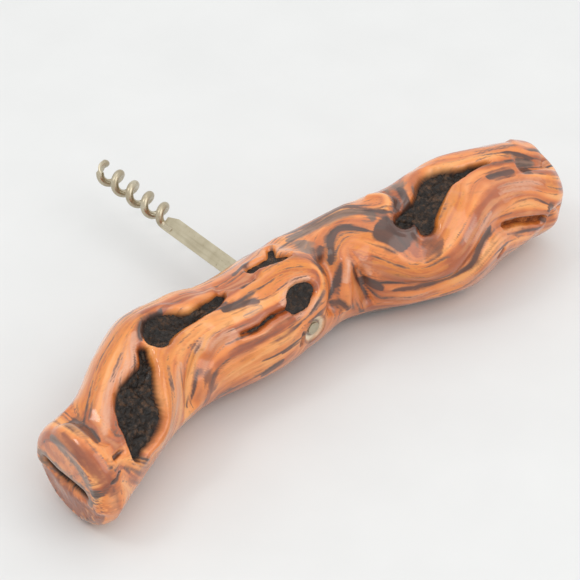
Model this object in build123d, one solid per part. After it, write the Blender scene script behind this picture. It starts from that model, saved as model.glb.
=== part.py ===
from build123d import *
import math
import os

# Direct-pull corkscrew: a gnarled wooden cross handle and a plain wire worm on a flat steel shank.
# Millimetres. +X runs along the handle, +Y along the worm to its point, +Z is up.
# It lies on its side, on small flats sanded on the underside of the handle.
# A clock angle on the handle is 0 at the top, 90 on the side away from the worm and 180 underneath.

os.makedirs("parts", exist_ok=True)

# ---- handle ----------------------------------------------------------------------------------
HANDLE_LEFT = -104.5
HANDLE_RIGHT = 102.6
HEIGHT_OVER_WIDTH = 0.97
END_ROUND_LENGTH = 6.5
END_FACE_SHARE = 0.76

# Bends and swellings of the wood: x, middle y, half width, underside above the table.
SWELLINGS = [
    (-98, -18.0, 17.5, -0.5),
    (-87, -14.0, 16.5, 1.0),
    (-74, -7.0, 18.0, 0.5),
    (-60, 0.0, 19.5, -0.5),
    (-45, 2.0, 18.5, -0.5),
    (-20, -0.5, 18.5, -0.5),
    (-2, 1.0, 18.5, -0.5),
    (15, 1.5, 17.0, 0.5),
    (35, -4.5, 19.5, 0.0),
    (56, -11.0, 21.0, -0.5),
    (72, -8.5, 20.5, -0.5),
    (86, -9.5, 18.5, 1.5),
    (96, -12.0, 17.5, 2.5),
]

# Raised rolls and sunk folds of the wood: (x, clock angle) line, half breadth, height.
ROLLS = [
    ([(-94, -10), (-78, -24), (-58, -16), (-32, -16)], 7.5, 1.5),
    ([(-80, 90), (-67, 60), (-60, 38), (-32, 28)], 5.0, 1.8),
    ([(-56, 105), (-55, 75), (-46, 48)], 4.5, -1.0),
    ([(-28, 20), (-14, 10), (0, 20), (2, 45), (-12, 68)], 5.0, 1.0),
    ([(9, 20), (9, 50), (3, 90)], 4.5, -1.4),
    ([(22, 44), (34, 80), (46, 74), (60, 46), (78, 48), (98, 70)], 7.0, 1.6),
    ([(20, 80), (36, 100), (50, 82), (62, 62)], 4.5, -1.0),
    ([(46, -20), (60, -38), (75, -10), (98, 2)], 6.5, 1.4),
]

POINTS_ROUND = 32
SECTION_STEP = 4.6

# ---- hollows filled with old bark: spines of (x, clock angle, half breadth) ---------------------
BARK_BELOW_SURFACE = 3.2
HOLLOW_DEPTH = 9.5
LOWER_LEFT_SPINE = [(-65, 12, 2.0), (-68, 24, 2.8), (-76, 32, 7.0), (-79, 48, 8.0), (-84, 66, 4.5)]
UPPER_LEFT_SPINE = [(-58, 15, 4.5), (-53, 8, 5.5), (-43, 14, 2.6), (-36, 10, 2.8), (-30, 4, 2.2)]
BACK_SPINE = [(-14, -8, 2.2), (-8, -2, 2.6), (-2, 5, 1.2)]
BACK_SPUR = [(-6, -4, 1.6), (-3, -17, 1.2)]
KNOT_SPINE = [(-12, 52, 2.2), (-8, 47, 4.0), (-4, 45, 2.6)]
SLIT_SPINE = [(-32, 51, 0.6), (-26, 52, 1.0), (-20, 48, 0.9), (-14, 50, 0.7)]
RIGHT_SPINE = [(78, 7, 0.8), (68, 1, 2.4), (58, -10, 6.0), (51, 4, 5.5), (45, 20, 5.0), (42, 38, 3.0)]
RIGHT_SHELF = [(47, 12, 4.5), (38, 22, 3.5)]
END_SLOT_SPINE = [(70, 70, 0.6), (79, 79, 1.2), (88, 90, 1.8)]

# Split in the left end face: y and z of its edge, and its depth from the end.
END_SPLIT_OUTLINE = [(-7.5, 16.4), (-13, 17.2), (-20, 17.6), (-27, 16.6), (-22, 14.2), (-14, 13.6)]
END_SPLIT_DEPTH = 6.0
END_SPLIT_FILL_BELOW = 2.4

# ---- steel ------------------------------------------------------------------------------------
SHANK_X = -5.4
SHANK_Z = 18.0
TANG_RADIUS = 2.1
TANG_END_Y = -17.4
BORE_RADIUS = 2.55
RESIN_START_Y = -15.9
SPOT_FACE_RADIUS = 4.7
SPOT_FACE_FLOOR_Y = -16.4
BAR_WIDTH = 5.9
BAR_THICKNESS = 2.2
BAR_START_Y = 13.0
BAR_END_Y = 56.0
BAR_ROLL = 36.0
BAR_SEAT_GAP = 0.25
SEAT_MOUTH_Y = 17.2
SHOULDER_LENGTH = 4.3
SHOULDER_DROP = 1.5

WIRE_RADIUS = 1.38
WORM_RADIUS = 2.76
WORM_PITCH = 8.1
WORM_OFFSET = WORM_RADIUS + WIRE_RADIUS - BAR_WIDTH / 2
STUB_START_Y = 51.5
STUB_END_Y = 55.2
BEND_LENGTH = 2.7
WORM_TURNS = 4.75
POINT_TURNS = 0.62
POINT_RADIUS = 0.14


def blend(x, column):
    """Smooth value of one column of SWELLINGS at x."""
    xs = [row[0] for row in SWELLINGS]
    vs = [row[column] for row in SWELLINGS]
    x = max(xs[0], min(xs[-1], x))
    i = max(0, min(len(xs) - 2, sum(1 for value in xs if value <= x) - 1))
    slopes = []
    for k in (i, i + 1):
        left = max(0, k - 1)
        right = min(len(xs) - 1, k + 1)
        slopes.append((vs[right] - vs[left]) / (xs[right] - xs[left]))
    span = xs[i + 1] - xs[i]
    t = (x - xs[i]) / span
    start = (2 * t**3 - 3 * t**2 + 1) * vs[i] + (t**3 - 2 * t**2 + t) * span * slopes[0]
    return start + (3 * t**2 - 2 * t**3) * vs[i + 1] + (t**3 - t**2) * span * slopes[1]


def end_share(x):
    """Share of the full width left at x, where the ends round off to a small face."""
    reach = min(x - HANDLE_LEFT, HANDLE_RIGHT - x)
    t = max(0.0, 1 - reach / END_ROUND_LENGTH)
    return END_FACE_SHARE + (1 - END_FACE_SHARE) * math.sqrt(max(0.0, 1 - t * t))


def skin(x, clock, out=0.0):
    """Point on the plain billet at x and a clock angle, moved out from its middle."""
    a = math.radians(clock)
    width = blend(x, 2)
    middle_z = blend(x, 3) + HEIGHT_OVER_WIDTH * width
    across = width * end_share(x)
    y = blend(x, 1) - (across + out) * math.sin(a)
    z = middle_z + (HEIGHT_OVER_WIDTH * across + out) * math.cos(a)
    return (x, y, z)


def trace(line):
    """Closely spaced points on the billet along a line of (x, clock angle) corners."""
    points = []
    for (x0, c0), (x1, c1) in zip(line, line[1:]):
        for k in range(8):
            t = k / 8
            points.append(skin(x0 + (x1 - x0) * t, c0 + (c1 - c0) * t))
    points.append(skin(*line[-1]))
    return points


ROLL_POINTS = [(trace(line), breadth, height) for line, breadth, height in ROLLS]


def relief(x, clock):
    """Height of the rolls and folds at one place."""
    here = skin(x, clock)
    total = 0.0
    for points, breadth, height in ROLL_POINTS:
        near = min(math.dist(here, p) for p in points)
        total += height * math.exp(-((near / breadth) ** 2))
    return total


def wood_loft(inset):
    """Solid through the billet's cross-sections, shrunk by inset all round."""
    stops = []
    for part in (0, 0.14, 0.45, 1):
        stops.append(HANDLE_LEFT + part * END_ROUND_LENGTH)
        stops.append(HANDLE_RIGHT - part * END_ROUND_LENGTH)
    inner = HANDLE_LEFT + END_ROUND_LENGTH + SECTION_STEP
    while inner < HANDLE_RIGHT - END_ROUND_LENGTH - SECTION_STEP / 2:
        stops.append(inner)
        inner += SECTION_STEP
    even = [k / POINTS_ROUND for k in range(POINTS_ROUND + 1)]
    rings = []
    for x in sorted(stops):
        if x - HANDLE_LEFT < inset or HANDLE_RIGHT - x < inset:
            continue
        points = []
        for k in range(POINTS_ROUND):
            clock = 360 * k / POINTS_ROUND
            points.append(Vector(*skin(x, clock, relief(x, clock) - inset)))
        rings.append(Wire([Edge.make_spline(points, periodic=True, parameters=even)]))
    return Solid.make_loft(rings)


def hollow(spine, depth):
    """Straight-sided hollow cut square to the surface, around a spine with a half breadth at each stop."""
    stops = [Vector(*skin(x, clock, relief(x, clock))) for x, clock, _ in spine]
    middle = sum(stops, Vector(0, 0, 0)) / len(stops)
    mean_clock = math.radians(sum(clock for _, clock, _ in spine) / len(spine))
    out = Vector(0, -math.sin(mean_clock), math.cos(mean_clock))
    face_plane = Plane(origin=middle, x_dir=(1, 0, 0), z_dir=out)
    flat = [face_plane.to_local_coords(stop) for stop in stops]
    flat = [Vector(p.X, p.Y, 0) for p in flat]
    left = []
    right = []
    for k, (_, _, breadth) in enumerate(spine):
        ahead = (flat[min(k + 1, len(flat) - 1)] - flat[max(k - 1, 0)]).normalized()
        across = Vector(-ahead.Y, ahead.X, 0)
        left.append(flat[k] + across * breadth)
        right.append(flat[k] - across * breadth)
    start = flat[0] - (flat[1] - flat[0]).normalized() * spine[0][2]
    finish = flat[-1] + (flat[-1] - flat[-2]).normalized() * spine[-1][2]
    outline = [start] + left + [finish] + right[::-1]
    edge = Wire([Spline(*outline, periodic=True)])
    low = face_plane.offset(-depth)
    return extrude(low * Face(edge), amount=depth + 14, dir=out)


def worm_stops():
    """Centre, direction, outward direction and wire radius along the wire, from stub to point."""
    roll = math.radians(BAR_ROLL)
    axis_x = SHANK_X + WORM_OFFSET * math.cos(roll)
    axis_z = SHANK_Z + WORM_OFFSET * math.sin(roll)
    climb_end = math.atan2(WORM_PITCH, 2 * math.pi * WORM_RADIUS)
    turn_length = math.hypot(WORM_PITCH, 2 * math.pi * WORM_RADIUS)
    step = turn_length / 20
    helix_length = turn_length * WORM_TURNS
    taper_length = turn_length * POINT_TURNS
    around = math.pi + roll
    y = STUB_START_Y
    stops = []

    def add(climb, radius):
        radial = Vector(math.cos(around), 0, math.sin(around))
        centre = Vector(axis_x, y, axis_z) + radial * WORM_RADIUS
        circling = Vector(math.sin(around), 0, -math.cos(around))
        ahead = circling * math.cos(climb) + Vector(0, 1, 0) * math.sin(climb)
        stops.append((centre, ahead, radial, radius))

    add(math.pi / 2, WIRE_RADIUS)
    y = (STUB_START_Y + STUB_END_Y) / 2
    add(math.pi / 2, WIRE_RADIUS)
    y = STUB_END_Y
    add(math.pi / 2, WIRE_RADIUS)
    bend_steps = 5
    for k in range(bend_steps):
        part = BEND_LENGTH / bend_steps
        middle_climb = math.pi / 2 + (climb_end - math.pi / 2) * (k + 0.5) / bend_steps
        around -= math.cos(middle_climb) * part / WORM_RADIUS
        y += math.sin(middle_climb) * part
        add(math.pi / 2 + (climb_end - math.pi / 2) * (k + 1) / bend_steps, WIRE_RADIUS)
    count = round(helix_length / step)
    for k in range(1, count + 1):
        around -= math.cos(climb_end) * step / WORM_RADIUS
        y += math.sin(climb_end) * step
        left = helix_length - k * step
        share = max(0.0, min(1.0, left / taper_length))
        radius = POINT_RADIUS + (WIRE_RADIUS - POINT_RADIUS) * math.sin(share * math.pi / 2) ** 0.9
        add(climb_end, radius)
    return stops


# ---- wood and bark ----------------------------------------------------------------------------
blank = wood_loft(0.0)
core = wood_loft(BARK_BELOW_SURFACE)

lower_left_cut = hollow(LOWER_LEFT_SPINE, HOLLOW_DEPTH)
upper_left_cut = hollow(UPPER_LEFT_SPINE, HOLLOW_DEPTH)
back_cut = hollow(BACK_SPINE, HOLLOW_DEPTH) + hollow(BACK_SPUR, HOLLOW_DEPTH)
knot_cut = hollow(KNOT_SPINE, 8.0)
slit_cut = hollow(SLIT_SPINE, 5.0)
right_cut = hollow(RIGHT_SPINE, HOLLOW_DEPTH + 1.5) + hollow(RIGHT_SHELF, HOLLOW_DEPTH + 1.5)
end_slot_cut = hollow(END_SLOT_SPINE, 6.5)

split_plane = Plane(origin=(HANDLE_LEFT, 0, 0), x_dir=(0, 1, 0), z_dir=(1, 0, 0))
split_points = [Vector(y, z, 0) for y, z in END_SPLIT_OUTLINE]
split_face = Face(Wire([Spline(*split_points, periodic=True)]))
split_cut = extrude(split_plane.offset(-2) * split_face, amount=END_SPLIT_DEPTH + 2, dir=(1, 0, 0))
split_fill = extrude(
    split_plane.offset(END_SPLIT_FILL_BELOW) * split_face,
    amount=END_SPLIT_DEPTH - END_SPLIT_FILL_BELOW,
    dir=(1, 0, 0),
)

# ---- steel shank and worm ---------------------------------------------------------------------
bar_roll = math.radians(BAR_ROLL)
bar_normal = (-math.sin(bar_roll), 0, math.cos(bar_roll))
to_bar = Plane(origin=(SHANK_X, 0, SHANK_Z), x_dir=(0, 1, 0), z_dir=bar_normal)
half = BAR_WIDTH / 2
bar_outline = Polyline(
    (BAR_START_Y, -half),
    (BAR_END_Y - SHOULDER_LENGTH, -half),
    (BAR_END_Y, -half + SHOULDER_DROP),
    (BAR_END_Y, half),
    (BAR_START_Y, half),
    close=True,
)
bar = extrude(to_bar * Face(Wire(bar_outline.edges())), amount=BAR_THICKNESS / 2, both=True)

along = Plane(origin=(SHANK_X, TANG_END_Y, SHANK_Z), x_dir=(1, 0, 0), z_dir=(0, 1, 0))
tang = extrude(along * Circle(TANG_RADIUS), amount=BAR_START_Y - TANG_END_Y)


def wire_ring(stop):
    """Round cross-section of the wire at one stop."""
    centre, ahead, radial, radius = stop
    return Plane(origin=centre, x_dir=radial, z_dir=ahead) * Circle(radius)


def wire_path(stops):
    """Smooth centre line of the wire through a run of stops."""
    return Wire([Spline(*[stop[0] for stop in stops], tangents=[stops[0][1], stops[-1][1]])])


stops = worm_stops()
taper_start = len(stops) - 1 - math.ceil(POINT_TURNS * 20)
coil = sweep(wire_ring(stops[0]), path=wire_path(stops[: taper_start + 1]))
point_stops = [stops[taper_start], stops[-9], stops[-6], stops[-3], stops[-1]]
point = sweep([wire_ring(s) for s in point_stops], path=wire_path(stops[taper_start:]), multisection=True)
worm = coil + point

shank = bar + tang - worm

bore = extrude(along.offset(-4) * Circle(BORE_RADIUS), amount=BAR_START_Y - TANG_END_Y + 4)
seat_outline = Rectangle(60, BAR_WIDTH + 2 * BAR_SEAT_GAP)
seat_plane = to_bar.shift_origin((SHANK_X, BAR_START_Y + 30, SHANK_Z))
seat = extrude(seat_plane * seat_outline, amount=BAR_THICKNESS / 2 + BAR_SEAT_GAP, both=True)
spot_face = extrude(
    along.offset(SPOT_FACE_FLOOR_Y - TANG_END_Y - 20) * Circle(SPOT_FACE_RADIUS), amount=20
)
resin_room = Box(30, SEAT_MOUTH_Y - RESIN_START_Y, 30, align=(Align.CENTER, Align.MIN, Align.CENTER))
resin = (bore + seat) & (Pos(SHANK_X, RESIN_START_Y, SHANK_Z) * resin_room)
resin = resin - shank

under = Box(400, 200, 40, align=(Align.CENTER, Align.CENTER, Align.MAX))
cuts = [lower_left_cut, upper_left_cut, back_cut, knot_cut, slit_cut, right_cut, end_slot_cut, split_cut]
handle = blank - under
for cut in cuts:
    handle = handle - cut
handle = handle - bore - seat - spot_face

pieces = {
    "handle": handle,
    "bark_lower_left": lower_left_cut & core,
    "bark_upper_left": (upper_left_cut & core) - lower_left_cut,
    "bark_back": back_cut & core,
    "bark_knot": knot_cut & core,
    "bark_slit": (slit_cut & core) - knot_cut,
    "bark_right": right_cut & core,
    "punk_end_slot": end_slot_cut & core,
    "bark_end_split": split_fill,
    "shank": shank,
    "tang_resin": resin,
    "worm": worm,
}

# ---- one frame: origin at the middle of the underside of the whole corkscrew -------------------
whole = Compound(children=[Compound(shape.solids()) for shape in pieces.values()])
box = whole.bounding_box()
shift = Pos(-(box.min.X + box.max.X) / 2, -(box.min.Y + box.max.Y) / 2, -box.min.Z)
for name, shape in pieces.items():
    solids = shape.solids()
    placed = shift * (solids[0] if len(solids) == 1 else Compound(solids))
    placed.label = name
    export_step(placed, f"parts/{name}.step")
    print(name, len(solids), round(sum(s.volume for s in solids)))
print("size", box.size, "shift", -(box.min.X + box.max.X) / 2, -(box.min.Y + box.max.Y) / 2, -box.min.Z)
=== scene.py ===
import math

import bpy
import numpy as np
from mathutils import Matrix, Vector, noise


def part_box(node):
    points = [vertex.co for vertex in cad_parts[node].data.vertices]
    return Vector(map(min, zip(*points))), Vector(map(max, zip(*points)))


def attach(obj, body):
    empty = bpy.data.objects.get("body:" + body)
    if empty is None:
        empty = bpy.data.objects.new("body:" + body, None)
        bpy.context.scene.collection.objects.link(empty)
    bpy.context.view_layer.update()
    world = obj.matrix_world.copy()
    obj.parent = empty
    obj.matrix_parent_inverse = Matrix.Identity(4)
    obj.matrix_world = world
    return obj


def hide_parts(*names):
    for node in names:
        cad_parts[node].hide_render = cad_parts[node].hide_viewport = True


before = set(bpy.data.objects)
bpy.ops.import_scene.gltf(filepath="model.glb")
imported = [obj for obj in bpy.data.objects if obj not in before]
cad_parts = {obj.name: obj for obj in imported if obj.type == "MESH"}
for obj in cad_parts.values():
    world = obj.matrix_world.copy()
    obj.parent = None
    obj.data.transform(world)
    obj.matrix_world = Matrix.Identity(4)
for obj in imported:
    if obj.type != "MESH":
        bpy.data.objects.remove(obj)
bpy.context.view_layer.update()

# Handle coordinates are millimetres in the part's drawing frame. A place on the wood is
# (x along the handle, clock angle): 0 is the top, 90 the side away from the worm, -90 the worm side.
TANG_X, TANG_Z, TANG_END_Y = -5.4, 18.0, -17.4
shank_low, shank_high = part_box("shank")
SHIFT = np.array([(shank_low.x + shank_high.x) * 500 - TANG_X, shank_low.y * 1000 - TANG_END_Y, 0.0])

# ---- the plain billet ---------------------------------------------------------------------------
HANDLE_LEFT, HANDLE_RIGHT = -104.5, 102.6
HEIGHT_OVER_WIDTH = 0.97
END_ROUND_LENGTH, END_FACE_SHARE = 6.5, 0.76
# Round the handle: its usual radius, and the millimetres in one degree of clock.
USUAL_RADIUS, MM_PER_DEGREE = 18.5, 0.32
# x, middle y, half width, underside above the table
SWELLINGS = np.array([
    (-98, -18.0, 17.5, -0.5), (-87, -14.0, 16.5, 1.0), (-74, -7.0, 18.0, 0.5), (-60, 0.0, 19.5, -0.5),
    (-45, 2.0, 18.5, -0.5), (-20, -0.5, 18.5, -0.5), (-2, 1.0, 18.5, -0.5), (15, 1.5, 17.0, 0.5),
    (35, -4.5, 19.5, 0.0), (56, -11.0, 21.0, -0.5), (72, -8.5, 20.5, -0.5), (86, -9.5, 18.5, 1.5),
    (96, -12.0, 17.5, 2.5),
])


def smoothstep(low, high, value):
    t = np.clip((value - low) / (high - low), 0.0, 1.0)
    return t * t * (3 - 2 * t)


def blend(x, column):
    """Smooth value of one SWELLINGS column at each x."""
    xs, vs = SWELLINGS[:, 0], SWELLINGS[:, column]
    slope = np.empty(len(xs))
    slope[1:-1] = (vs[2:] - vs[:-2]) / (xs[2:] - xs[:-2])
    slope[0], slope[-1] = (vs[1] - vs[0]) / (xs[1] - xs[0]), (vs[-1] - vs[-2]) / (xs[-1] - xs[-2])
    x = np.clip(x, xs[0], xs[-1])
    i = np.clip(np.searchsorted(xs, x, side="right") - 1, 0, len(xs) - 2)
    span = xs[i + 1] - xs[i]
    t = (x - xs[i]) / span
    return ((2 * t**3 - 3 * t**2 + 1) * vs[i] + (t**3 - 2 * t**2 + t) * span * slope[i]
            + (3 * t**2 - 2 * t**3) * vs[i + 1] + (t**3 - t**2) * span * slope[i + 1])


def skin(x, clock, scale=1.0):
    """Points on the plain billet."""
    x, a = np.asarray(x, float), np.radians(clock)
    reach = np.minimum(x - HANDLE_LEFT, HANDLE_RIGHT - x)
    t = np.clip(1 - reach / END_ROUND_LENGTH, 0, 1)
    width = blend(x, 2)
    across = width * (END_FACE_SHARE + (1 - END_FACE_SHARE) * np.sqrt(1 - t * t)) * scale
    y = blend(x, 1) - across * np.sin(a)
    z = blend(x, 3) + HEIGHT_OVER_WIDTH * (width + across * np.cos(a))
    return np.stack([x + 0 * y, y, z], -1)


def skin_normal(x, clock):
    """Outward direction of the plain billet."""
    inside = np.clip(np.asarray(x, float), HANDLE_LEFT + 0.7, HANDLE_RIGHT - 0.7)
    clock = np.asarray(clock, float)
    along = skin(inside + 0.6, clock) - skin(inside - 0.6, clock)
    around = skin(inside, clock + 1.0) - skin(inside, clock - 1.0)
    n = np.cross(around, along)
    return n / np.linalg.norm(n, axis=-1, keepdims=True)


def rounded(line, step=1.0):
    """Corners of (x, clock, ...) joined by a smooth curve, sampled about every millimetre."""
    p = np.array([line[0]] + list(line) + [line[-1]], float)
    out = []
    for k in range(1, len(p) - 2):
        reach = math.hypot(p[k + 1][0] - p[k][0], (p[k + 1][1] - p[k][1]) * MM_PER_DEGREE)
        for t in np.linspace(0, 1, max(2, int(reach / step) + 1), endpoint=False):
            out.append(0.5 * (2 * p[k] + (p[k + 1] - p[k - 1]) * t
                              + (2 * p[k - 1] - 5 * p[k] + 4 * p[k + 1] - p[k + 2]) * t * t
                              + (3 * p[k] - p[k - 1] - 3 * p[k + 1] + p[k + 2]) * t**3))
    out.append(p[-1])
    return np.array(out)


# How far outside a hollow its distance is followed, and how far round a spine places are searched.
HOLLOW_REACH, HOLLOW_SEARCH = 6.0, 15


class Field:
    """A set of places on the wood, with distances from lines drawn on it."""

    def __init__(self, x, clock):
        self.x, self.clock = x, clock
        self.place = skin(x, clock)

    def near(self, line, reach):
        """Indices of the places within reach of a line, their distance from it and share along it."""
        path = rounded(line)
        points = skin(path[:, 0], path[:, 1])
        low, high = points.min(0) - reach, points.max(0) + reach
        keep = np.nonzero(np.all((self.place > low) & (self.place < high), axis=1))[0]
        here = self.place[keep]
        best, share = np.full(len(keep), 1e9), np.zeros(len(keep))
        for k in range(len(points) - 1):
            run = points[k + 1] - points[k]
            t = np.clip((here - points[k]) @ run / max(1e-9, float(run @ run)), 0, 1)
            d = np.linalg.norm(here - points[k] - t[:, None] * run, axis=1)
            closer = d < best
            best[closer] = d[closer]
            share[closer] = ((k + t) / (len(points) - 1))[closer]
        within = best < reach
        return keep[within], best[within], share[within]

    def hollow(self, spines):
        """Distance inside the edge of a hollow round its spines, negative outside it."""
        value = np.full(len(self.x), -HOLLOW_REACH)
        for spine in spines:
            path = rounded(spine, 0.5)
            points = skin(path[:, 0], path[:, 1])
            low, high = points.min(0) - HOLLOW_SEARCH, points.max(0) + HOLLOW_SEARCH
            keep = np.nonzero(np.all((self.place > low) & (self.place < high), axis=1))[0]
            for point, breadth in zip(points, path[:, 2]):
                d = breadth - np.linalg.norm(self.place[keep] - point, axis=1)
                value[keep] = np.maximum(value[keep], d)
        return value


def taper(share, ends=0.18):
    """1 along a line, fading to 0 at both ends."""
    return smoothstep(0, ends, share) * smoothstep(0, ends, 1 - share)


def rough(points, size, octaves=4, seed=0.0):
    """Fractal noise around 0 with features about size mm across."""
    scaled = (points + np.array([seed, seed * 1.7, -seed])) / size
    return np.array([noise.fractal(Vector(p), 1.0, 2.0, octaves) for p in scaled])


# ---- what is carved and drawn on the wood --------------------------------------------------------
# Hollows: spines of (x, clock, half breadth), depth of the wood's wall, depth of what fills it.
HOLLOWS = {
    "lower_left": ([[(-65, 12, 2.0), (-68, 24, 2.8), (-76, 32, 7.0), (-79, 48, 8.0), (-84, 66, 4.5)]],
            5.5, 2.4),
    "upper_left": ([[(-58, 15, 4.5), (-53, 8, 5.5), (-43, 14, 2.6), (-36, 10, 2.8), (-30, 4, 2.2)]], 5.5,
            1.8),
    "back": ([[(-14, -8, 2.2), (-8, -2, 2.6), (-2, 5, 1.2)], [(-6, -4, 1.6), (-3, -17, 1.2)]], 4.2, 1.3),
    "knot": ([[(-12, 52, 2.2), (-8, 47, 4.0), (-4, 45, 2.6)]], 4.0, 1.2),
    "slit": ([[(-32, 51, 0.6), (-26, 52, 1.0), (-20, 48, 0.9), (-14, 50, 0.7)]], 2.6, 1.6),
    "right": ([[(78, 7, 0.8), (68, 1, 2.4), (58, -10, 6.0), (51, 4, 5.5), (45, 20, 5.0), (42, 38, 3.0)],
               [(47, 12, 4.5), (38, 22, 3.5)]], 6.5, 2.6),
    "end_slot": ([[(70, 70, 0.6), (79, 79, 1.2), (88, 90, 1.8)]], 3.2, 1.5),
}
FILLED_BY = {
    "lower_left": "bark_lower_left", "upper_left": "bark_upper_left", "back": "bark_back",
    "knot": "bark_knot", "slit": "bark_slit", "right": "bark_right", "end_slot": "punk_end_slot",
}

# Rolls and folds: line, half breadth, height (negative is a furrow).
ROLLS = [
    ([(-94, -10), (-78, -24), (-58, -16), (-32, -16)], 7.5, 1.5),
    ([(-80, 90), (-67, 60), (-60, 38), (-32, 28)], 5.0, 1.8),
    ([(-56, 105), (-55, 75), (-46, 48)], 3.6, -1.3),
    ([(-48, 110), (-46, 75), (-26, 66), (-2, 70)], 6.0, 0.8),
    ([(-97, -40), (-94, 0), (-95, 35)], 3.8, -1.5),
    ([(-100, -30), (-100, 30), (-98, 110)], 4.5, 0.9),
    ([(-28, 20), (-14, 10), (0, 20), (2, 45), (-12, 68)], 5.0, 1.1),
    ([(-30, -8), (-20, 0), (-14, 6)], 2.2, -0.9),
    ([(9, 20), (9, 50), (3, 90)], 2.9, -1.8),
    ([(18, 34), (12, 60), (10, 100)], 2.8, 1.3),
    ([(18, 48), (18, 75), (20, 110)], 2.0, -1.5),
    ([(22, 44), (34, 80), (46, 74), (60, 46), (78, 48), (98, 70)], 6.5, 1.7),
    ([(20, 72), (34, 93), (45, 99), (52, 79), (61, 61), (69, 66), (87, 95)], 3.2, -1.3),
    ([(24, 112), (46, 110), (62, 84), (90, 115)], 5.0, 1.0),
    ([(46, -20), (60, -38), (75, -10), (98, 2)], 5.8, 1.6),
    ([(36, -30), (40, -15), (36, 8)], 2.2, 0.9),
    ([(43, -30), (43, -8), (38, 12)], 1.6, -1.0),
    ([(58, 12), (48, 38), (40, 55)], 3.0, 0.9),
    ([(86, 20), (96, 24), (103, 28)], 3.0, -1.8),
    ([(90, 92), (103, 98)], 3.2, -1.6),
    ([(94, -20), (103, -10)], 5.0, 0.8),
    ([(0, -26), (22, -32), (34, -26)], 5.0, 0.8),
    ([(68, 62), (96, 86)], 2.6, 0.7),
    ([(-90, -110), (-30, -80), (30, -85), (90, -90)], 6.0, 1.0),
    ([(-80, -70), (-20, -50), (40, -70), (80, -60)], 4.0, -0.8),
    ([(-40, -125), (30, -125), (60, -140)], 9.0, 0.8),
]

# Fine cracks: line, half width, depth.
CRACKS = [
    ([(-96, 47), (-90, 50)], 0.8, 1.6),
    ([(-100, 64), (-95, 61)], 0.5, 1.2),
    ([(-24, 9), (-16, 4)], 0.6, 0.9),
    ([(-11, 78), (-12, 100)], 0.5, 0.9),
    ([(69, 70), (89, 85)], 0.7, 1.0),
    ([(62, 93), (67, 87)], 0.7, 1.3),
    ([(82, 127), (82, 118)], 0.6, 1.2),
    ([(99, 24), (101, 29)], 0.9, 1.6),
    ([(-4, 46), (-2, 48)], 0.9, 1.0),
]

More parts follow.
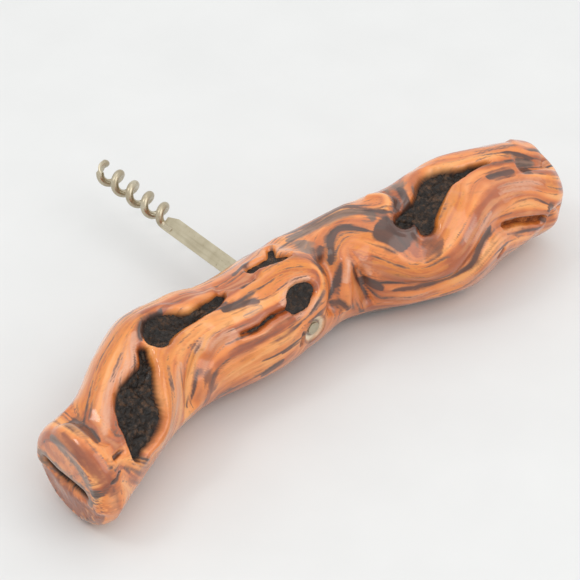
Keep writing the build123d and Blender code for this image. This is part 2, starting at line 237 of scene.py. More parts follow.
# Stains and painted sheen: line, half breadth, strength.
STAINS_AND_SHEEN = {
    "dark": [
        ([(-96, -32), (-97, -5), (-95, 26)], 3.2, 1.1),
        ([(-93, 62), (-91, 76)], 0.8, 0.7),
        ([(-85, 74), (-81, 92)], 0.8, 0.7),
        ([(-96, 47), (-90, 50)], 0.8, 1.2),
        ([(-100, 64), (-95, 61)], 0.6, 1.2),
        ([(-64, 8), (-58, -3), (-49, -5)], 1.3, 1.1),
        ([(-58, 44), (-60, 84)], 0.8, 0.7),
        ([(-57, 100), (-54, 80), (-49, 52)], 1.0, 0.9),
        ([(-34, 22), (-27, 25), (-21, 30)], 1.7, 1.1),
        ([(-24, 9), (-16, 4)], 0.8, 1.1),
        ([(-21, -14), (-12, -20)], 1.1, 0.9),
        ([(-29, 86), (-20, 87), (-11, 84)], 0.6, 0.9),
        ([(-21, 90), (-12, 89)], 0.6, 1.1),
        ([(-28, 112), (-24, 107), (-19, 101)], 1.8, 1.1),
        ([(-11, 78), (-12, 100)], 1.0, 1.0),
        ([(12, 12), (6, 26), (6, 46)], 2.2, 1.1),
        ([(14, 38), (9, 60), (5, 74), (1, 86)], 0.9, 1.0),
        ([(6, 76), (11, 94)], 1.3, 0.9),
        ([(5, -28), (16, -25), (28, -26), (33, -2), (37, 14)], 1.3, 1.2),
        ([(11, 38), (15, 15), (21, 2), (27, 20)], 1.1, 1.2),
        ([(16, 42), (17, 70), (20, 106)], 1.0, 1.1),
        ([(18, 67), (24, 89)], 1.6, 1.2),
        ([(26, 92), (39, 98), (50, 90), (57, 68), (65, 60)], 1.4, 1.2),
        ([(23, 78), (34, 90), (45, 88)], 0.6, 0.8),
        ([(29, 18), (32, 34), (33, 52)], 4.8, 1.4),
        ([(37, 18), (37, 42)], 3.0, 1.3),
        ([(43, -24), (41, 0), (37, 12)], 1.4, 1.0),
        ([(47, -24), (43, 4), (38, 16)], 1.4, 1.1),
        ([(32, -4), (37, 4)], 1.0, 0.9),
        ([(72, 23), (84, 27)], 2.5, 1.2),
        ([(87, 27), (91, 30)], 1.9, 1.0),
        ([(85, 5), (96, 17)], 0.7, 1.0),
        ([(90, 74), (93, 82)], 1.7, 1.1),
        ([(69, 78), (89, 102)], 0.7, 0.9),
        ([(70, 55), (83, 58), (91, 74)], 0.6, 0.9),
        ([(62, 93), (67, 87)], 0.8, 1.1),
        ([(99, 24), (101, 29)], 1.2, 1.2),
        ([(82, 127), (82, 118)], 0.7, 1.1),
        ([(-45, 12), (-30, 16)], 1.1, 0.9),
        ([(-30, -40), (20, -46)], 1.5, 0.8),
        ([(50, -56), (84, -34)], 1.0, 0.6),
        ([(-70, -75), (-10, -90)], 2.0, 0.9),
        ([(20, -82), (80, -86)], 2.4, 0.9),
        ([(-60, 140), (60, 128)], 1.2, 0.9),
        ([(10, 160), (90, 155)], 2.0, 0.9),
    ],
    "brown": [
        ([(-50, 64), (-48, 78), (-46, 98)], 2.6, 1.0),
        ([(38, 50), (44, 58)], 4.5, 0.9),
    ],
    "grey": [
        ([(3, -14), (20, -17), (31, -8), (30, 14)], 2.2, 1.1),
        ([(9, -5), (4, 14)], 3.8, 1.1),
        ([(-29, 36), (-21, 35)], 1.8, 0.9),
        ([(88, 15), (96, 20)], 1.1, 0.9),
        ([(50, -20), (44, -34)], 2.5, 0.8),
        # This stroke across the left end face is painted sheen, a grey band on its rounded upper part.
        ([(-104, -30), (-105, 30), (-104, 80)], 2.4, 1.1),
    ],
    "gold": [
        ([(-92, -16), (-76, -24), (-56, -12)], 6.5, 0.9),
        ([(-77, 82), (-69, 71), (-66, 47), (-62, 31), (-50, 25)], 3.0, 1.2),
        ([(-26, 15), (-10, 14), (2, 30)], 4.0, 0.9),
        ([(10, 46), (14, 26), (22, 18), (27, 34)], 2.6, 1.0),
        ([(62, 9), (51, 30), (43, 50)], 4.0, 1.1),
        ([(22, 52), (34, 74), (44, 72)], 3.6, 0.8),
        ([(92, 48), (98, 60)], 3.0, 0.9),
        ([(-46, 92), (-26, 76)], 4.0, 0.6),
        ([(20, 30), (24, 40)], 2.4, 0.8),
    ],
    # Pale strokes: partly pale wood, such as the halo round the knot, and partly painted lacquer highlight
    # along the left roll's inner side, the ridge top near x 15 and the right lobe.
    "pale": [
        ([(-93, 26), (-84, 0), (-72, 6), (-62, -4)], 2.3, 0.9),
        ([(-57, 45), (-62, 60), (-66, 82)], 2.4, 0.9),
        ([(-50, 45), (-33, 46)], 2.6, 0.8),
        ([(-16, 44), (-7, 33), (-1, 38)], 2.0, 0.9),
        ([(-14, 60), (-2, 58)], 1.8, 0.7),
        ([(17, 38), (11, 62)], 1.8, 0.9),
        ([(20, 46), (21, 66)], 1.6, 0.7),
        ([(70, 43), (92, 45)], 3.6, 0.7),
        ([(50, 60), (64, 48)], 3.0, 0.6),
        ([(-2, -12), (1, 4)], 2.2, 0.8),
        ([(24, 110), (54, 98), (66, 76)], 3.0, 0.5),
    ],
    "red": [
        ([(-98, -2), (-96, 24)], 2.4, 1.0),
        ([(-102, -10), (-103, 30), (-100, 80)], 2.2, 1.0),
        ([(-94, 84), (-70, 112)], 4.0, 0.6),
        ([(8, 62), (3, 84)], 2.2, 0.7),
        ([(5, -20), (12, -17)], 1.0, 1.0),
        ([(52, 100), (62, 92), (74, 104)], 2.6, 0.7),
        ([(68, 68), (98, 108)], 2.4, 0.6),
        ([(-40, 62), (-14, 70)], 2.4, 0.6),
    ],
}

# ---- wood mesh -----------------------------------------------------------------------------------
CAP_RINGS, AROUND, RING_STEP = 16, 240, 0.55
ROLL_STRENGTH, FURROW_STRENGTH = 1.3, 1.7
WAVE_HEIGHT, WAVE_SIZE = 0.22, 17.0
RIPPLE_HEIGHT, RIPPLE_SIZE = 0.07, 5.0


def clock_stops():
    """Clock angles, closer together on the top and the side away from the worm."""
    fine = np.linspace(-180, 180, 3601)
    weight = 0.45 + 0.55 * smoothstep(-85, -65, fine) * (1 - smoothstep(145, 165, fine))
    total = np.concatenate([[0], np.cumsum((weight[1:] + weight[:-1]) / 2)])
    return np.interp(np.arange(AROUND) / AROUND * total[-1], total, fine)


clock_row = clock_stops()
near_end = END_ROUND_LENGTH * (1 - np.cos(np.linspace(0, math.pi / 2, 14)))
body_x = np.concatenate([
    HANDLE_LEFT + near_end,
    np.arange(HANDLE_LEFT + END_ROUND_LENGTH + RING_STEP, HANDLE_RIGHT - END_ROUND_LENGTH, RING_STEP),
    (HANDLE_RIGHT - near_end)[::-1],
])
cap_scale = (np.arange(CAP_RINGS) + 0.35) / CAP_RINGS
ring_x = np.concatenate([np.full(CAP_RINGS, HANDLE_LEFT), body_x, np.full(CAP_RINGS, HANDLE_RIGHT)])
ring_scale = np.concatenate([cap_scale, np.ones(len(body_x)), cap_scale[::-1]])
rings = len(ring_x)
grid_x = np.repeat(ring_x, AROUND)
grid_clock = np.tile(clock_row, rings)
grid_scale = np.repeat(ring_scale, AROUND)
wood = Field(grid_x, grid_clock)
wood.place = skin(grid_x, grid_clock, grid_scale)
place = wood.place
on_body = grid_scale > 0.999
# The right end is a rounder nose than the billet.
NOSE_LENGTH, NOSE_SHRINK = 13.0, 0.20
t = np.clip(1 - (HANDLE_RIGHT - grid_x) / NOSE_LENGTH, 0, 1)
nose = 1 - NOSE_SHRINK * (1 - np.sqrt(1 - 0.98 * t * t))
middle_z = blend(grid_x, 3) + HEIGHT_OVER_WIDTH * blend(grid_x, 2)
centre = np.stack([grid_x, blend(grid_x, 1), middle_z], -1)
wood.place = centre + (place - centre) * nose[:, None]
place = wood.place
axis_out = np.where(grid_x[:, None] < 0, [-1.0, 0, 0], [1.0, 0, 0])
end_gap = np.minimum(grid_x - HANDLE_LEFT, HANDLE_RIGHT - grid_x)
turn = np.where(on_body, 0.8 * (1 - smoothstep(0, 3.0, end_gap)), 1.0)[:, None]
outward = skin_normal(grid_x, grid_clock) * (1 - turn) + axis_out * turn
outward /= np.linalg.norm(outward, axis=1, keepdims=True)


def relief(field):
    """Height of the rolls, furrows and slow waves over the plain billet."""
    height = np.zeros(len(field.x))
    for line, breadth, rise in ROLLS:
        keep, d, share = field.near(line, breadth * 2.4)
        strength = ROLL_STRENGTH if rise > 0 else FURROW_STRENGTH
        height[keep] += strength * rise * np.exp(-((d / breadth) ** 2)) * taper(share)
    waves = WAVE_HEIGHT * rough(field.place, WAVE_SIZE, 2, 3.0)
    ripples = RIPPLE_HEIGHT * rough(field.place, RIPPLE_SIZE, 2, 11.0)
    return height + waves + ripples


height = relief(wood)
for line, breadth, depth in CRACKS:
    keep, d, share = wood.near(line, breadth * 2.5)
    height[keep] -= depth * np.exp(-((d / breadth) ** 2)) * taper(share, 0.3)
height *= np.where(on_body, 1.0, smoothstep(0.2, 1.0, grid_scale))

# Walls of the hollows: where they start outside the edge, and how far in they reach their floor.
DEEP_WALL = 4.5
WALL_START, DEEP_WALL_RUN, SHALLOW_WALL_RUN = -0.6, 2.6, 1.2
EDGE_JITTER, DARK_EDGE = 0.28, 0.9
LIP_HEIGHT, LIP_OFFSET, LIP_BREADTH = 0.4, 1.3, 1.1
# Stained wood and painted shade on the hollow walls: nothing at a hollow's edge, full strength DARK_EDGE
# inside it.
cavity_stain_and_shade = np.zeros(len(place))
edge_jitter = rough(place, 2.6, 3, 21.0)
for spines, wall, _ in HOLLOWS.values():
    inside = wood.hollow(spines)
    inside = np.where(inside > 0.1 - HOLLOW_REACH, inside + EDGE_JITTER * edge_jitter, inside)
    wall_run = DEEP_WALL_RUN if wall > DEEP_WALL else SHALLOW_WALL_RUN
    height -= wall * smoothstep(WALL_START, wall_run, inside)
    height += LIP_HEIGHT * np.exp(-(((inside + LIP_OFFSET) / LIP_BREADTH) ** 2))
    cavity_stain_and_shade = np.maximum(cavity_stain_and_shade, smoothstep(0.0, DARK_EDGE, inside))

# The split across the left end face, as (y, z) points down the middle of the CAD part's split,
# and the porous lip below it.
SPLIT_BREADTH, SPLIT_DEPTH, LIP_SET_BACK = 1.7, 3.4, 0.9
END_SPLIT = np.array([(-8, 16.4), (-14, 15.4), (-21, 15.8), (-26, 16.0)])
flat = place[:, 1:3]
split_gap = np.full(len(place), 99.0)
for start, finish in zip(END_SPLIT, END_SPLIT[1:]):
    run = finish - start
    t = np.clip((flat - start) @ run / (run @ run), 0, 1)
    split_gap = np.minimum(split_gap, np.linalg.norm(flat - start - t[:, None] * run, axis=1))
at_left_end = smoothstep(-101.0, -103.6, grid_x)
split_fill = np.exp(-((split_gap / SPLIT_BREADTH) ** 2)) * at_left_end
below_split = at_left_end * smoothstep(1.0, -2.5, flat[:, 1] - 15.0 - 0.05 * flat[:, 0])
height -= SPLIT_DEPTH * split_fill
height -= LIP_SET_BACK * below_split * smoothstep(0.3, 0.9, grid_scale)
height += 0.16 * below_split * rough(place, 1.1, 3, 31.0)
moved = place + outward * height[:, None]

# The spot-faced recess where the tang's end shows.
RECESS_RADIUS, RECESS_FLOOR_Y = 4.5, -16.7
radial = np.hypot(moved[:, 0] - TANG_X, moved[:, 2] - TANG_Z)
recess = (moved[:, 1] < -8) & (radial < 8)
pull = 1 - smoothstep(RECESS_RADIUS - 0.6, RECESS_RADIUS + 0.5, radial + 0.35 * rough(place, 3.0, 2, 41.0))
floor_y = RECESS_FLOOR_Y + 0.12 * np.sin(radial * 3.0)
sunk = moved[:, 1] * (1 - pull) + np.maximum(moved[:, 1], floor_y) * pull
rim = 0.25 * np.exp(-(((radial - RECESS_RADIUS - 0.6) / 0.9) ** 2))
moved[:, 1] = np.where(recess, sunk - rim, moved[:, 1])
# Swellings flatten gently towards the sides of the CAD part's box, and the underside rests on its flats.
EASE = 1.2
handle_low, handle_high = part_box("handle")
near_y = handle_low.y * 1000 - SHIFT[1]
top_z = handle_high.z * 1000
over = np.maximum(0, near_y + EASE - moved[:, 1])
moved[:, 1] += over - EASE * (1 - np.exp(-over / EASE)) * (over > 0)
over = np.maximum(0, moved[:, 2] - top_z + EASE)
moved[:, 2] -= over - EASE * (1 - np.exp(-over / EASE)) * (over > 0)
moved[:, 2] = np.maximum(moved[:, 2], 0.0)
moved[:, 0] = np.clip(moved[:, 0], HANDLE_LEFT, HANDLE_RIGHT)

# ---- grain: its direction at every point, then streaks drawn out along it -------------------------
# How far a guide line turns the grain, and the weak pull along the handle where there is none.
GUIDE_REACH, ALONG_HANDLE = 11.0, 0.010
flow = np.full(len(place), ALONG_HANDLE + 0j)
guides = [entry[0] for entry in ROLLS + STAINS_AND_SHEEN["dark"] + STAINS_AND_SHEEN["gold"]]
guides += [[stop[:2] for stop in spine] for spines, _, _ in HOLLOWS.values() for spine in spines]
for line in guides:
    path = rounded(line)
    keep, d, share = wood.near(line, GUIDE_REACH)
    at = np.clip((share * (len(path) - 1)).astype(int), 0, len(path) - 2)
    step = path[at + 1] - path[at]
    heading = step[:, 0] + 1j * step[:, 1] * MM_PER_DEGREE
    heading /= np.maximum(np.abs(heading), 1e-6)
    flow[keep] += heading**2 / (d * d + 2.0)
angle = np.angle(flow).reshape(rings, AROUND) / 2
x_pitch = np.maximum(np.abs(np.gradient(ring_x)), 0.12)
clock_pitch = np.gradient(np.unwrap(np.radians(clock_row))) * USUAL_RADIUS


def look_up(grid, fi, fj):
    """Values of a ring-by-clock grid between its points."""
    fi = np.clip(fi, 0, rings - 1.001)
    i, j = fi.astype(int), np.floor(fj).astype(int)
    u, w = fi - i, fj - np.floor(fj)
    j0, j1 = j % AROUND, (j + 1) % AROUND
    return ((grid[i, j0] * (1 - w) + grid[i, j1] * w) * (1 - u)
            + (grid[i + 1, j0] * (1 - w) + grid[i + 1, j1] * w) * u)


def streaks(seed, spread, reach):
    """Random grains drawn out along the flow of the wood, as values around 0.5."""
    random = np.random.default_rng(seed).random((rings, AROUND))
    for _ in range(spread):
        random = (random + np.roll(random, 1, 1) + np.roll(random, -1, 1)
                  + np.roll(random, 1, 0) + np.roll(random, -1, 0)) / 5
    total = np.zeros((rings, AROUND))
    stride = 0.45
    for start in (0, math.pi):
        fi = np.repeat(np.arange(rings, dtype=float)[:, None], AROUND, 1)
        fj = np.repeat(np.arange(AROUND, dtype=float)[None, :], rings, 0)
        heading = angle + start
        for _ in range(int(reach / stride)):
            i = np.clip(np.rint(fi).astype(int), 0, rings - 1)
            j = np.rint(fj).astype(int) % AROUND
            local = angle[i, j]
            heading = local + np.where(np.cos(local - heading) < 0, math.pi, 0)
            fi = fi + np.cos(heading) * stride / x_pitch[i]
            fj = fj + np.sin(heading) * stride / clock_pitch[j]
            total += look_up(random, fi, fj)
    total -= total.mean()
    return np.clip(0.5 + total / total.std() * 0.18, 0, 1).ravel()


def stain_and_sheen(entries):
    """Strength of one layer of strokes over the wood: stains, with painted sheen among the pale and grey
    ones.
    """
    value = np.zeros(len(place))
    for line, breadth, strength in entries:
        keep, d, share = wood.near(line, breadth * 2.6)
        narrow = breadth * (0.25 + 0.75 * np.sqrt(taper(share, 0.35)))
        got = strength * np.exp(-((d / narrow) ** 2) * 0.9) * taper(share, 0.06)
        value[keep] = np.maximum(value[keep], got)
    return value


layers = {name: stain_and_sheen(entries) for name, entries in STAINS_AND_SHEEN.items()}
layers["fine"] = streaks(5, 0, 7.0)
layers["middle"] = streaks(6, 2, 12.0)
layers["broad"] = streaks(7, 9, 20.0)
end_share = np.where(on_body, 0.0, 1.0)
for name, size in (("fine", 0.7), ("middle", 2.2), ("broad", 7.0)):
    figure = np.clip(0.5 + 0.28 * rough(place, size, 3, 91.0), 0, 1)
    layers[name] = layers[name] * (1 - end_share) + figure * end_share
# Painted sheen: a grey band just above the split on the left end face, added to the grey layer.
painted_end_sheen = at_left_end * np.exp(-(((split_gap - 3.2) / 2.0) ** 2)) * (flat[:, 1] > 14)
layers["grey"] = np.maximum(layers["grey"], painted_end_sheen)
layers["red"] = np.maximum(layers["red"], below_split * 0.95)
# Painted shade across the end split, in the same layer.
layers["cavity_stain_and_shade"] = np.maximum(cavity_stain_and_shade, smoothstep(0.25, 0.6, split_fill))
layers["recess"] = np.where(recess, pull, 0.0)
tang_ring = 0.9 * np.exp(-(((radial - 2.6) / 0.45) ** 2)) + 0.7 * np.exp(-(((radial - 5.0) / 0.4) ** 2))
layers["shadow"] = np.where(recess, tang_ring, 0.0)


def mesh_object(name, points, faces):
    """A smooth-shaded mesh object from points in drawing millimetres."""
    mesh = bpy.data.meshes.new(name)
    mesh.from_pydata(((np.asarray(points) + SHIFT) / 1000).tolist(), [], faces)
    mesh.update()
    mesh.polygons.foreach_set("use_smooth", [True] * len(mesh.polygons))
    obj = bpy.data.objects.new(name, mesh)
    bpy.context.scene.collection.objects.link(obj)
    return obj


def place_piece(obj, material, slot, *nodes):
    """Gives a new piece its material, and puts it in place of CAD nodes of the one body."""
    obj.data.materials.append(material)
    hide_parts(*nodes)
    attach(obj, "root")


def build_handle(material):
    faces = []
    for i in range(rings - 1):
        row, above = i * AROUND, (i + 1) * AROUND
        for j in range(AROUND):
            k = (j + 1) % AROUND
            faces.append((row + j, above + j, above + k, row + k))
    left_pole, right_pole = len(moved), len(moved) + 1
    last = (rings - 1) * AROUND
    for j in range(AROUND):
        k = (j + 1) % AROUND
        faces.append((left_pole, j, k))
        faces.append((right_pole, last + k, last + j))
    poles = np.array([moved[:AROUND].mean(0), moved[-AROUND:].mean(0)])
    handle = mesh_object("wood_handle", np.vstack([moved, poles]), faces)
    for name, values in layers.items():
        ends = [values[:AROUND].mean(), values[-AROUND:].mean()]
        attribute = handle.data.attributes.new(name, "FLOAT", "POINT")
        attribute.data.foreach_set("value", np.concatenate([values, ends]).astype(np.float32))
    place_piece(handle, material, "lacquered_wood", "handle")


# ---- bark meshes ---------------------------------------------------------------------------------
def closed_patch(name, top, below, rows, columns, wanted):
    """A closed shell from a grid of points, keeping the wanted ones."""
    quads = []
    for i in range(rows - 1):
        for j in range(columns - 1):
            a, b = i * columns + j, (i + 1) * columns + j
            quad = (a, b, b + 1, a + 1)
            if all(wanted[q] for q in quad):
                quads.append(quad)
    count = len(top)
    edges = {}
    for quad in quads:
        for start, finish in zip(quad, quad[1:] + quad[:1]):
            edges[(start, finish)] = True
    faces = [tuple(reversed([q + count for q in quad])) for quad in quads]
    for start, finish in edges:
        if (finish, start) not in edges:
            faces.append((finish, start, start + count, finish + count))
    faces += quads
    used = sorted({q for face in faces for q in face})
    number = {old: new for new, old in enumerate(used)}
    points = np.vstack([top, below])[used]
    return mesh_object(name, points, [tuple(number[q] for q in face) for face in faces])


def build_bark(name, material, slot):
    spines, wall, depth = HOLLOWS[name]
    stops = np.array([stop for spine in spines for stop in spine])
    margin = stops[:, 2].max() + 2.5
    xs = np.arange(stops[:, 0].min() - margin, stops[:, 0].max() + margin, 0.36)
    xs = xs[(xs > HANDLE_LEFT + 1) & (xs < HANDLE_RIGHT - 1)]
    clocks = np.arange(stops[:, 1].min() - margin * 3.4, stops[:, 1].max() + margin * 3.4, 1.1)
    field = Field(np.repeat(xs, len(clocks)), np.tile(clocks, len(xs)))
    inside = field.hollow(spines)
    normal = skin_normal(field.x, field.clock)
    lumps = 1.0 * rough(field.place, 5.0, 5, 51.0) + 0.14 * rough(field.place, 1.4, 3, 61.0)
    cracks = np.maximum(0, 0.13 - np.abs(rough(field.place, 3.4, 2, 71.0))) / 0.13
    crust = lumps - 0.6 * cracks
    if wall < DEEP_WALL:
        crust = crust * 0.5
    low = relief(field) - depth - 0.7 * smoothstep(0.5, 3.5, inside) + crust
    top = field.place + normal * np.minimum(low, relief(field) - 0.6)[:, None]
    below = field.place + normal * (low - 2.4)[:, None]
    patch = closed_patch(name + "_fill", top, below, len(xs), len(clocks), inside > -1.1)
    place_piece(patch, material, slot, FILLED_BY[name])


def build_split_fill(material):
    """Dark rotten wood down the split of the left end face."""
    along = np.linspace(0, 1, 90)
    stations = np.linspace(0, 1, len(END_SPLIT))
    middle = np.stack([np.interp(along, stations, END_SPLIT[:, k]) for k in (0, 1)], -1)
    across = np.linspace(-1.4, 1.4, 14)
    y = np.repeat(middle[:, 0], len(across))
    z = (middle[:, 1][:, None] + across[None, :] * np.sin(math.pi * along)[:, None] ** 0.4).ravel()
    points = np.stack([np.full(len(y), HANDLE_LEFT + 2.7), y, z], -1)
    points[:, 0] += 0.7 * rough(points, 2.0, 4, 81.0)
    deeper = points + np.array([1.8, 0, 0])
    wanted = np.ones(len(points), bool)
    patch = closed_patch("end_split_fill", points, deeper, len(along), len(across), wanted)
    place_piece(patch, material, "bark", "bark_end_split")


# ---- materials -----------------------------------------------------------------------------------
def colour(red, green, blue):
    """Linear colour from 0-255 display values."""
    linear = []
    for level in (red, green, blue):
        if level > 10:
            linear.append(((level / 255 + 0.055) / 1.055) ** 2.4)
        else:
            linear.append(level / 255 / 12.92)
    return (*linear, 1)


class Nodes:
    """Small helper for building one material's node tree."""

    def __init__(self, name):
        self.material = bpy.data.materials.new(name)
        self.material.use_nodes = True
        self.tree = self.material.node_tree
        self.shader = self.tree.nodes["Principled BSDF"]

    def add(self, kind, **values):
        node = self.tree.nodes.new(kind)
        for key, value in values.items():
            setattr(node, key, value)
        return node

    def link(self, source, target):
        self.tree.links.new(source, target)

    def value(self, name):
        return self.add("ShaderNodeAttribute", attribute_name=name).outputs["Fac"]

    def noise(self, scale, detail=4.0, stretch=(1, 1, 1), roughness=0.5):
        where = self.add("ShaderNodeTexCoord")
        mapping = self.add("ShaderNodeMapping")
        mapping.inputs["Scale"].default_value = stretch
        texture = self.add("ShaderNodeTexNoise")
        texture.inputs["Scale"].default_value = scale
        texture.inputs["Detail"].default_value = detail
        texture.inputs["Roughness"].default_value = roughness
        self.link(where.outputs["Object"], mapping.inputs["Vector"])
        self.link(mapping.outputs["Vector"], texture.inputs["Vector"])
        return texture.outputs["Fac"]

    def spread(self, source, low, high, start=0.0, finish=1.0):
        node = self.add("ShaderNodeMapRange")
        for key, value in zip(("From Min", "From Max", "To Min", "To Max"), (low, high, start, finish)):
            node.inputs[key].default_value = value
        self.link(source, node.inputs["Value"])
        return node.outputs["Result"]

    def sum(self, a, b, operation="ADD"):
        node = self.add("ShaderNodeMath", operation=operation)
        for socket, given in zip(node.inputs, (a, b)):
            if isinstance(given, (int, float)):
                socket.default_value = given
            else:
                self.link(given, socket)
        return node.outputs[0]

    def ramp(self, source, *stops):
        node = self.add("ShaderNodeValToRGB")
        elements = node.color_ramp.elements
        while len(elements) < len(stops):
            elements.new(0.5)
        for element, (position, tone) in zip(elements, stops):
            element.position = position
            element.color = colour(*tone)
        self.link(source, node.inputs["Fac"])
        return node.outputs["Color"]

    def over(self, below, share, above):
        """One colour laid over another, by a share."""
        node = self.add("ShaderNodeMix", data_type="RGBA", blend_type="MIX")
        self.link(share, node.inputs["Factor"])
        self.link(below, node.inputs[6])
        if isinstance(above, tuple):
            node.inputs[7].default_value = above
        else:
            self.link(above, node.inputs[7])
        return node.outputs[2]

    def bump(self, height, strength, distance, below=None):
        node = self.add("ShaderNodeBump")
        node.inputs["Strength"].default_value = strength
        node.inputs["Distance"].default_value = distance
        self.link(height, node.inputs["Height"])
        if below is not None:
            self.link(below, node.inputs["Normal"])
        return node.outputs["Normal"]


def wood_material():
    """Pale orange heartwood with dark and pale figure, painted lacquer highlight and painted shade in the
    hollows, under a thick gloss lacquer.
    """
    look = Nodes("lacquered_wood")
    fine, middle, broad = look.value("fine"), look.value("middle"), look.value("broad")
    base = look.ramp(broad, (0.28, (166, 80, 28)), (0.45, (208, 114, 44)), (0.58, (224, 132, 56)),
            (0.75, (232, 154, 80)))
    base = look.over(base, look.spread(middle, 0.55, 0.85, 0, 0.45), colour(140, 68, 34))
    base = look.over(base, look.spread(middle, 0.45, 0.15, 0, 0.35), colour(232, 168, 112))
    ragged = look.sum(look.sum(middle, 0.5, "SUBTRACT"), 1.15, "MULTIPLY")
    speck = look.sum(look.sum(fine, 0.5, "SUBTRACT"), 1.3, "MULTIPLY")
    edge = look.sum(ragged, speck)
    base = look.over(base, look.spread(look.noise(700, 4, (0.3, 1, 1)), 0.58, 0.75, 0, 0.35),
            colour(122, 60, 28))

    def mask(name, low, high, most):
        return look.spread(look.sum(look.value(name), edge), low, high, 0, most)

    base = look.over(base, mask("gold", 0.25, 0.9, 0.80),
            look.ramp(fine, (0.3, (190, 98, 20)), (0.7, (226, 138, 40))))
    base = look.over(base, mask("red", 0.30, 0.9, 0.85),
            look.ramp(fine, (0.3, (96, 42, 24)), (0.7, (150, 76, 42))))
    # Pale wood, partly painted lacquer highlight.
    base = look.over(base, mask("pale", 0.25, 0.9, 0.80),
            look.ramp(middle, (0.3, (222, 166, 132)), (0.7, (206, 148, 118))))
    base = look.over(base, mask("brown", 0.25, 0.8, 0.85), colour(116, 62, 36))
    # Grey-brown wood, and grey sheen painted on the left end face.
    base = look.over(base, mask("grey", 0.25, 0.8, 0.90),
            look.ramp(middle, (0.3, (132, 108, 92)), (0.7, (98, 76, 62))))
    base = look.over(base, mask("dark", 0.20, 0.85, 0.95),
            look.ramp(middle, (0.3, (88, 44, 26)), (0.7, (54, 28, 18))))
    base = look.over(base, look.spread(fine, 0.60, 0.84, 0, 0.50), colour(92, 46, 24))
    base = look.over(base, look.value("recess"), look.ramp(fine, (0.3, (226, 206, 178)),
            (0.7, (200, 168, 134))))
    base = look.over(base, look.value("shadow"), colour(70, 40, 26))
    # Stained wood and painted shade in the hollows and the end split.
    base = look.over(base, look.value("cavity_stain_and_shade"), look.ramp(middle, (0.3, (38, 22, 15)), (0.7, (16, 11, 9))))
    look.link(base, look.shader.inputs["Base Color"])
    pores = look.noise(1500, 3, (0.35, 1, 1))
    rough_wood = look.sum(look.spread(fine, 0, 1, 0.34, 0.48),
            look.spread(look.value("cavity_stain_and_shade"), 0, 1, 0, 0.35))
    look.link(rough_wood, look.shader.inputs["Roughness"])
    grain = look.bump(fine, 0.35, 0.00025)
    look.link(look.bump(pores, 0.12, 0.0001, grain), look.shader.inputs["Normal"])
    look.shader.inputs["Specular IOR Level"].default_value = 0.45
    look.shader.inputs["Subsurface Weight"].default_value = 0.05
    look.shader.inputs["Subsurface Radius"].default_value = (0.004, 0.0015, 0.0006)
    coat = look.spread(look.value("cavity_stain_and_shade"), 0, 0.6, 0.95, 0.05)
    look.link(coat, look.shader.inputs["Coat Weight"])
    look.link(look.spread(look.noise(90, 3), 0.3, 0.7, 0.06, 0.14), look.shader.inputs["Coat Roughness"])
    look.shader.inputs["Coat IOR"].default_value = 1.5
    look.link(look.bump(look.noise(260, 2), 0.10, 0.0004), look.shader.inputs["Coat Normal"])
    return look.material


def bark_material(name, deep, mid, light, glints):
    """Crusty old bark or rotten wood with paler flecks and a few wet-looking glints."""
    look = Nodes(name)
    lumps, flecks, grit = look.noise(420, 6, roughness=0.7), look.noise(1500, 4), look.noise(3600, 2)
    base = look.ramp(lumps, (0.32, deep), (0.52, mid), (0.70, light))
    base = look.over(base, look.spread(flecks, 0.64, 0.76, 0, 0.45), colour(*light))
    base = look.over(base, look.spread(grit, 0.5, 0.72, 0, 0.5), colour(*deep))
    look.link(base, look.shader.inputs["Base Color"])
    look.link(look.spread(flecks, 0.35, 0.65, 0.22 if glints else 0.5, 0.75),
            look.shader.inputs["Roughness"])
    look.link(look.bump(grit, 0.5, 0.00025, look.bump(lumps, 0.8, 0.0009)), look.shader.inputs["Normal"])
    look.shader.inputs["Specular IOR Level"].default_value = 0.25
    look.shader.inputs["Coat Weight"].default_value = glints
    look.shader.inputs["Coat Roughness"].default_value = 0.18
    return look.material


def steel_material(name, tones, stretch, roughness):
    """Warm worn nickel plate over steel, with drawn lines, dull patches and fine scratches."""
    look = Nodes(name)
    lines, patches, spots = look.noise(900, 5, stretch), look.noise(120, 4), look.noise(1400, 3)
    base = look.ramp(patches, (0.35, tones[0]), (0.65, tones[1]))
    base = look.over(base, look.spread(lines, 0.55, 0.75, 0, 0.35), colour(*tones[2]))
    base = look.over(base, look.spread(spots, 0.66, 0.76, 0, 0.45), colour(96, 78, 56))
    look.link(base, look.shader.inputs["Base Color"])
    look.shader.inputs["Metallic"].default_value = 1.0
    look.link(look.sum(look.spread(lines, 0.3, 0.7, roughness, roughness + 0.12),
            look.spread(patches, 0.4, 0.7, 0, 0.10)),
           look.shader.inputs["Roughness"])
    look.link(look.bump(spots, 0.10, 0.00008, look.bump(lines, 0.18, 0.00008)),
            look.shader.inputs["Normal"])
    return look.material


def resin_material():
    """Amber adhesive, cloudy with small bubbles."""
    look = Nodes("resin")
    cloud = look.noise(500, 4)
    look.link(look.ramp(cloud, (0.3, (150, 104, 52)), (0.7, (196, 150, 88))),
            look.shader.inputs["Base Color"])
    look.link(look.spread(cloud, 0.3, 0.7, 0.2, 0.45), look.shader.inputs["Roughness"])
    look.link(look.bump(look.noise(2200, 2), 0.2, 0.0001), look.shader.inputs["Normal"])
    return look.material


def floor_material():
    """Plain pale matt board."""
    look = Nodes("pale_floor")
    look.link(look.ramp(look.noise(30, 3), (0.3, (215, 216, 216)), (0.7, (218, 219, 219))),
            look.shader.inputs["Base Color"])
    look.shader.inputs["Roughness"].default_value = 0.85
    return look.material


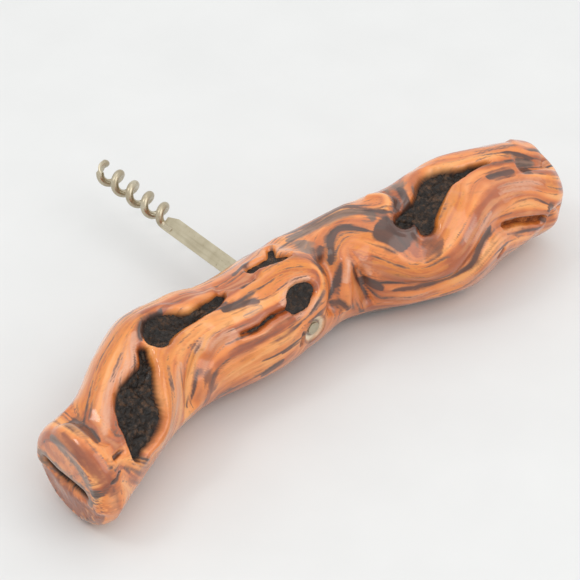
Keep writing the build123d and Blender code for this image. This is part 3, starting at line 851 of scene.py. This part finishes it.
# ---- the object ----------------------------------------------------------------------------------
build_handle(wood_material())
black_bark = bark_material("bark", (10, 7, 5), (32, 22, 15), (98, 68, 44), 0.2)
soft_wood = bark_material("soft_wood", (92, 42, 18), (158, 84, 38), (196, 118, 60), 0.0)
for hollow_name in HOLLOWS:
    if hollow_name == "end_slot":
        build_bark(hollow_name, soft_wood, "soft_wood")
    else:
        build_bark(hollow_name, black_bark, "bark")
build_split_fill(black_bark)
for node_name, material in (
    ("shank", steel_material("shank_steel", ((190, 182, 160), (172, 163, 140), (134, 124, 102)),
            (1, 0.05, 1), 0.36)),
    ("worm", steel_material("worm_steel", ((196, 188, 168), (176, 164, 140), (126, 108, 82)), (1, 1, 1),
            0.2)),
    ("tang_resin", resin_material()),
):
    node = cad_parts[node_name]
    node.data.materials.clear()
    node.data.materials.append(material)

# ---- floor, light and camera ---------------------------------------------------------------------
bpy.ops.mesh.primitive_grid_add(x_subdivisions=4, y_subdivisions=4, size=6.0, location=(0, 0, -0.0002))
floor = bpy.context.object
floor.name = "floor"
floor.data.materials.append(floor_material())

# The camera looks at a point over the handle's middle, from this side, height and distance.
CAMERA_AZIMUTH, CAMERA_ELEVATION = math.radians(-41.8), math.radians(40.0)
CAMERA_DISTANCE, CAMERA_LENS, SENSOR = 0.700, 134.7, 36.0
target = Vector((SHIFT[0] / 1000, SHIFT[1] / 1000, 0.020))
toward = Vector((math.sin(CAMERA_AZIMUTH) * math.cos(CAMERA_ELEVATION),
                 -math.cos(CAMERA_AZIMUTH) * math.cos(CAMERA_ELEVATION), math.sin(CAMERA_ELEVATION)))


def aimed(obj, location, at):
    """Puts a light or camera at a place, looking at another."""
    obj.location = location
    obj.rotation_euler = (Vector(at) - Vector(location)).to_track_quat("-Z", "Y").to_euler()
    bpy.context.scene.collection.objects.link(obj)


camera = bpy.data.objects.new("camera", bpy.data.cameras.new("camera"))
camera.data.lens, camera.data.sensor_width = CAMERA_LENS, SENSOR
camera.data.clip_start = 0.01
aimed(camera, target + toward * CAMERA_DISTANCE, target)
bpy.context.scene.camera = camera

right = toward.cross(Vector((0, 0, 1))).normalized() * -1
for name, place_at, size, power in (
    ("key", target - right * 0.55 + toward * 0.15 + Vector((0, 0, 0.75)), 0.22, 0.95),
    ("top", target + Vector((0, 0, 1.1)) - toward * 0.3, 0.7, 0.8),
    ("fill", target + right * 0.6 + toward * 0.6 + Vector((0, 0, 0.45)), 0.8, 3.0),
):
    lamp = bpy.data.objects.new(name, bpy.data.lights.new(name, "AREA"))
    lamp.data.shape, lamp.data.size, lamp.data.energy = "SQUARE", size, power
    aimed(lamp, place_at, target)

world = bpy.data.worlds.new("studio")
world.use_nodes = True
world.node_tree.nodes["Background"].inputs["Color"].default_value = (1.0, 1.0, 0.99, 1)
world.node_tree.nodes["Background"].inputs["Strength"].default_value = 0.98
bpy.context.scene.world = world
bpy.context.scene.view_settings.view_transform = "Standard"
